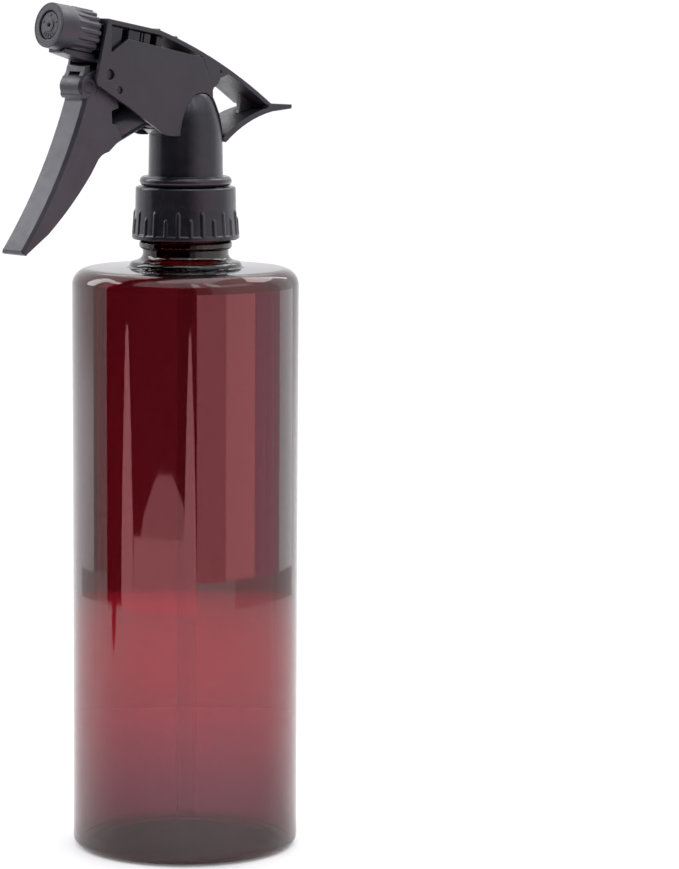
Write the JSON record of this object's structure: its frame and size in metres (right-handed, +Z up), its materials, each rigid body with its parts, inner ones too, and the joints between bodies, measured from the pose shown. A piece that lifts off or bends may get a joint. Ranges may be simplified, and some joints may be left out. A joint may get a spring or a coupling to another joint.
{
  "type": "spray bottle",
  "caption": "Round tinted spray bottle with a ribbed screw cap and a black trigger pump head with an adjustable nozzle.",
  "frame": {"origin": "centre of the flat base of the bottle", "axes": "+Z up the bottle's axis, the nozzle points to -X and the pivot pin lies along Y"},
  "size_m": [0.0979, 0.066, 0.247],
  "materials": {
    "tinted_plastic": "clear glossy, tinted dark red",
    "black_plastic": "black, semi-gloss moulded",
    "grey_plastic": "black, fine satin grain",
    "natural_plastic": "natural, translucent white",
    "rubber": "soft seal rubber",
    "spring_steel": "bright drawn wire and ball"
  },
  "bodies": {
    "bottle": {"bottle": "tinted_plastic"},
    "gasket_carrier": {"gasket": "rubber"},
    "cap": {"screw_cap": "black_plastic"},
    "head": {"shank_retainer": "black_plastic", "vent_seal": "rubber", "pump_body": "black_plastic", "shroud": "grey_plastic", "pivot_pin": "black_plastic", "inlet_valve_seat": "natural_plastic", "dip_tube": "natural_plastic", "spout": "black_plastic", "swirl_insert": "natural_plastic", "return_spring": "spring_steel", "outlet_spring": "spring_steel"},
    "trigger": {"trigger": "grey_plastic"},
    "piston": {"piston": "black_plastic", "piston_seal": "rubber"},
    "check_ball": {"inlet_ball": "spring_steel"},
    "outlet_poppet": {"outlet_valve": "natural_plastic"},
    "nozzle_carrier": {"nozzle_seal": "rubber"},
    "nozzle": {"nozzle_cap": "grey_plastic"}
  },
  "joints": [
    {"name": "cap_lift", "type": "slide", "parent": "bottle", "child": "gasket_carrier", "axis": [0, 0, 1], "range_m": [0, 0.00635]},
    {"name": "cap_turn", "type": "hinge", "parent": "gasket_carrier", "child": "cap", "pos_m": [0, 0, 0.186], "axis": [0, 0, 1], "range_deg": [0, 540.5]},
    {"name": "head_swivel", "type": "hinge", "parent": "gasket_carrier", "child": "head", "pos_m": [0, 0, 0.191], "axis": [0, 0, 1], "continuous": true},
    {"name": "trigger_pull", "type": "hinge", "parent": "head", "child": "trigger", "pos_m": [-0.0338, 0, 0.2268], "axis": [0, -1, 0], "range_deg": [0, 20], "stiffness_Nm_per_rad": 0.12, "springref_deg": -8.59},
    {"name": "piston_stroke", "type": "slide", "parent": "head", "child": "piston", "axis": [0.9135, 0, 0.4067], "range_m": [0, 0.00605], "deforming": ["return_spring"]},
    {"name": "check_ball_lift", "type": "slide", "parent": "head", "child": "check_ball", "axis": [0, 0, 1], "range_m": [0, 0.0012]},
    {"name": "outlet_valve_open", "type": "slide", "parent": "head", "child": "outlet_poppet", "axis": [-0.9848, 0, 0.1736], "range_m": [0, 0.0008], "stiffness_N_per_m": 100, "deforming": ["outlet_spring"]},
    {"name": "nozzle_travel", "type": "slide", "parent": "head", "child": "nozzle_carrier", "axis": [-0.9848, 0, 0.1736], "range_m": [0, 0.002]},
    {"name": "nozzle_turn", "type": "hinge", "parent": "nozzle_carrier", "child": "nozzle", "pos_m": [-0.05, 0, 0.2407], "axis": [-0.9848, 0, 0.1736], "range_deg": [0, 360.5]}
  ],
  "couplings": [
    {"joint": "cap_turn", "follows": "cap_lift", "rad_per_m": 1484.3},
    {"joint": "piston_stroke", "follows": "trigger_pull", "m_per_rad": 0.0172},
    {"joint": "nozzle_turn", "follows": "nozzle_travel", "rad_per_m": 3141.6}
  ]
}
